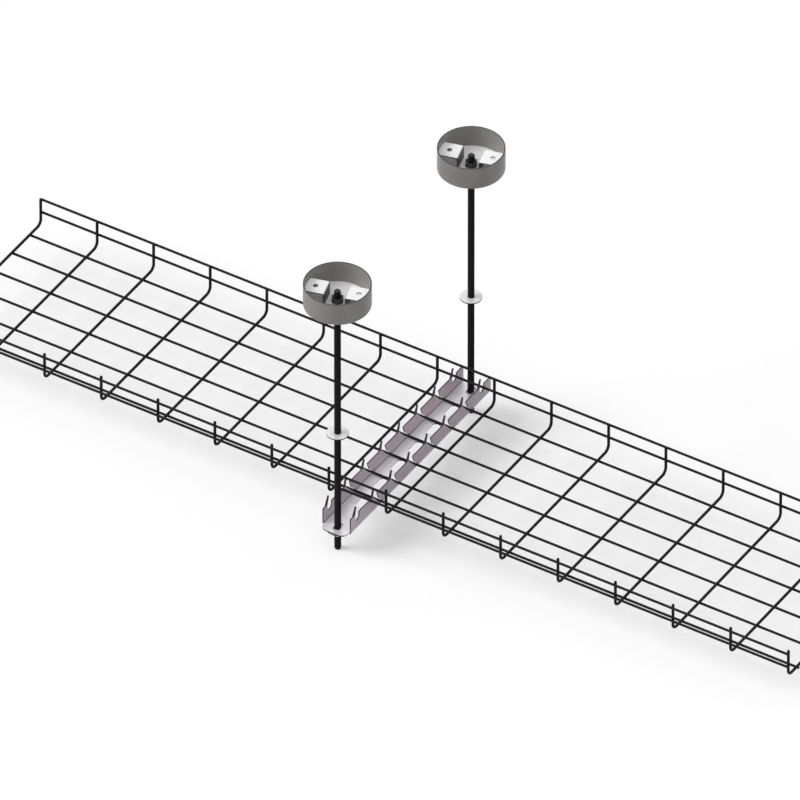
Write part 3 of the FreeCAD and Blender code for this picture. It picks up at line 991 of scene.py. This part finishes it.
@dataclass
class CeilingCups:
    """The two open cups that meet the ceiling, white inside at the foot."""

    sheet: float = 2 * MM
    bore: float = 10.5 * MM
    columns: int = 128
    sharp_turn: float = math.radians(40)
    foot_round: float = 1 * MM
    rim_round: float = 0.6 * MM
    bore_round: float = 0.3 * MM
    floor_rise: float = 0.1 * MM
    floor_tilt: float = 0.7
    wall_coat: SurfaceCoat = SurfaceCoat(
        "grey_cup_coat", (0.2, 0.187, 0.187), (0.228, 0.214, 0.212), gloss=(0.32, 0.44),
        peel_size=0.5 * MM, metal=0.2,
    )
    floor_coat: SurfaceCoat = SurfaceCoat(
        "white_cup_floor", (0.94, 0.94, 0.94), (0.9, 0.9, 0.9), gloss=(0.35, 0.45)
    )
    rim_coat: SurfaceCoat = SurfaceCoat("dark_cup_rim", (0.04, 0.035, 0.038), (0.06, 0.055, 0.058))
    # The lining is the wall's grey painted lighter: painted light that offsets the shade inside the
    # cup.
    painted_light_lining_coat: SurfaceCoat = SurfaceCoat(
        "grey_cup_lining_painted_light", (0.29, 0.272, 0.272), (0.32, 0.302, 0.3), gloss=(0.34, 0.46),
        peel_size=0.5 * MM, metal=0.2,
    )

    def build(self) -> list[bpy.types.Object]:
        """Turn both cups.

        Returns:
            The two cups.
        """
        coats = (self.wall_coat, self.floor_coat, self.rim_coat, self.painted_light_lining_coat)
        finishes = [coat.make() for coat in coats]
        return [self.cup(side, finishes) for side in Side]

    def cup(self, side: Side, finishes: Sequence[bpy.types.Material]) -> bpy.types.Object:
        """Turn one cup.

        Args:
            side: which cup it is.
            finishes: the materials of its wall, its inner floor, its rim and its lining, whose
                lighter grey is painted light.

        Returns:
            The cup.
        """
        node = side.node("ceiling_cup")
        axis, width, _, height = stand(node)
        bore, outer = self.bore / 2, width / 2
        inner = outer - self.sheet
        outline = rounded([
            (bore, 0, self.bore_round), (outer, 0, self.foot_round),
            (outer, height, self.rim_round), (inner, height, self.rim_round),
            (inner, self.sheet, self.foot_round), (bore, self.sheet, self.bore_round),
        ])
        piece = turned_piece(side.node("cup_shell"), axis, outline, self.columns)
        floor_top = axis.z + self.sheet + self.floor_rise
        rim_foot = axis.z + height - self.rim_round
        middle = outer - self.sheet / 2

        def pick(face: bpy.types.MeshPolygon) -> int:
            """Number a face: 0 for the wall, 1 for the floor, 2 for the rim, 3 for the lining in
            painted light.
            """
            if face.center.z > rim_foot:
                return 2
            if face.center.z > floor_top and (face.center - axis).xy.length < middle:
                return 3
            return int(face.normal.z > self.floor_tilt and face.center.z < floor_top)

        paint_faces(piece, finishes, pick)
        piece.data.shade_smooth()
        piece.data.set_sharp_from_angle(angle=self.sharp_turn)
        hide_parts(node)
        return piece


@dataclass
class CupBrackets:
    """The folded white strip in each cup, dark along its cut edges, with painted shade on its
    upright folded faces.
    """

    edge_round: float = 0.2 * MM
    flat_tilt: float = 0.6
    flat_coat: SurfaceCoat = SurfaceCoat(
        "white_bracket_coat", (0.92, 0.92, 0.92), (0.88, 0.88, 0.88), gloss=(0.35, 0.5)
    )
    # The dark coat goes on every face that isn't level: the cut edges, and painted shade on the
    # upright risers.
    edge_and_shade_coat: SurfaceCoat = SurfaceCoat(
        "dark_bracket_edge_and_riser_shade", (0.03, 0.028, 0.03), (0.05, 0.045, 0.05)
    )

    def build(self) -> list[bpy.types.Object]:
        """Refine and paint both brackets.

        Returns:
            The two brackets.
        """
        finishes = [self.flat_coat.make(), self.edge_and_shade_coat.make()]
        pieces = []
        for side in Side:
            node = side.node("cup_bracket")
            piece = refined_copy(node, side.node("bracket_strip"), self.edge_round)
            # Level faces stay white; every other face gets the dark coat, which is painted shade on
            # the risers.
            paint_faces(piece, finishes, lambda face: int(abs(face.normal.z) < self.flat_tilt))
            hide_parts(node)
            pieces.append(piece)
        return pieces


@dataclass(frozen=True)
class SoftSun:
    """One wide, soft sun, by its share of the light on a level sheet and the angle it fills."""

    name: str
    toward: tuple[float, float, float]
    share: float
    spread: float

    def build(self) -> None:
        """Add the sun to the scene."""
        toward = Vector(self.toward).normalized()
        sun = bpy.data.objects.new(self.name, bpy.data.lights.new(self.name, "SUN"))
        sun.data.energy = self.share * math.pi / toward.z
        sun.data.angle = self.spread
        sun.rotation_euler = toward.to_track_quat("Z", "Y").to_euler()
        bpy.context.scene.collection.objects.link(sun)


@dataclass
class Studio:
    """The camera, the soft lights, the white surroundings and the pale floor.

    The lens is the longest with which the views from other sides still reach the object.
    """

    aim: Vector = field(default_factory=lambda: Vector((0.0559, -0.1021, 0.25)))
    azimuth: float = math.radians(31.97)
    elevation: float = math.radians(39.6)
    view_width: float = 1.1848
    lens: float = 1650.0
    sensor: float = 36.0
    ambient: float = 0.46
    key_light: SoftSun = SoftSun("key_light", (-0.695, -0.434, 0.574), 0.38, math.radians(35))
    top_light: SoftSun = SoftSun("top_light", (0.1, -0.15, 1.0), 0.18, math.radians(70))
    floor_radius: float = 4.0
    floor_corners: int = 96
    floor_tone: float = 0.8
    floor_glow: float = 0.2

    def build(self) -> None:
        """Set up everything that isn't part of the object."""
        self.make_camera()
        self.make_surroundings()
        self.key_light.build()
        self.top_light.build()
        self.make_floor()
        bpy.context.scene.view_settings.view_transform = "Standard"

    def make_camera(self) -> None:
        """Stand the camera far off, with a long lens, so that the view is nearly parallel."""
        back = Vector((
            math.sin(self.azimuth) * math.cos(self.elevation),
            -math.cos(self.azimuth) * math.cos(self.elevation),
            math.sin(self.elevation),
        ))
        distance = self.view_width * self.lens / self.sensor
        camera = bpy.data.objects.new("camera", bpy.data.cameras.new("camera"))
        camera.data.lens = self.lens
        camera.data.sensor_width = self.sensor
        camera.data.clip_start = 1.0
        camera.data.clip_end = 2 * distance
        camera.location = self.aim + back * distance
        camera.rotation_euler = back.to_track_quat("Z", "Y").to_euler()
        bpy.context.scene.collection.objects.link(camera)
        bpy.context.scene.camera = camera

    def make_surroundings(self) -> None:
        """Light the object evenly, and show plain white behind it and in its reflections."""
        world = bpy.data.worlds.new("surroundings")
        world.use_nodes = True
        bpy.context.scene.world = world
        sheet = NodeSheet(world.node_tree)
        path = sheet.node("ShaderNodeLightPath")
        seen = path.outputs["Is Camera Ray"]
        for ray in ("Is Glossy Ray", "Is Transmission Ray"):
            either = {0: seen, 1: path.outputs[ray]}
            seen = sheet.node("ShaderNodeMath", either, operation="MAXIMUM").outputs[0]
        levels = {"Value": seen, "To Min": self.ambient, "To Max": 1.0}
        level = sheet.node("ShaderNodeMapRange", levels)
        background = world.node_tree.nodes["Background"]
        background.inputs["Color"].default_value = (1.0, 1.0, 1.0, 1.0)
        world.node_tree.links.new(level.outputs[0], background.inputs["Strength"])

    def make_floor(self) -> None:
        """Lay a plain pale floor that keeps the object's shadow."""
        form = bmesh.new()
        bmesh.ops.create_circle(
            form, cap_ends=True, radius=self.floor_radius, segments=self.floor_corners
        )
        floor = keep_form(form, "floor")
        material = bpy.data.materials.new("pale_floor")
        material.use_nodes = True
        sheet = NodeSheet(material.node_tree)
        shader = material.node_tree.nodes["Principled BSDF"]
        seen = sheet.node("ShaderNodeLightPath").outputs["Is Camera Ray"]
        glow = sheet.node("ShaderNodeMath", {0: seen, 1: self.floor_glow}, operation="MULTIPLY")
        shader.inputs["Base Color"].default_value = (*[self.floor_tone] * 3, 1.0)
        shader.inputs["Roughness"].default_value = 1.0
        shader.inputs["Specular IOR Level"].default_value = 0.0
        shader.inputs["Emission Color"].default_value = (1.0, 1.0, 1.0, 1.0)
        material.node_tree.links.new(glow.outputs[0], shader.inputs["Emission Strength"])
        floor.data.materials.append(material)


def main() -> None:
    """Build the studio and every sub-assembly, and log each piece's face count."""
    logging.basicConfig(level=logging.INFO, format="%(name)s: %(message)s")
    Studio().build()
    assemblies = BasketMesh, TrapezeChannel, HangerRods, RodFasteners, CeilingCups, CupBrackets
    for assembly in assemblies:
        for piece in assembly().build():
            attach(piece, BODY)
            log.info("%s: %d faces", piece.name, len(piece.data.polygons))


if __name__ == "__main__":
    main()
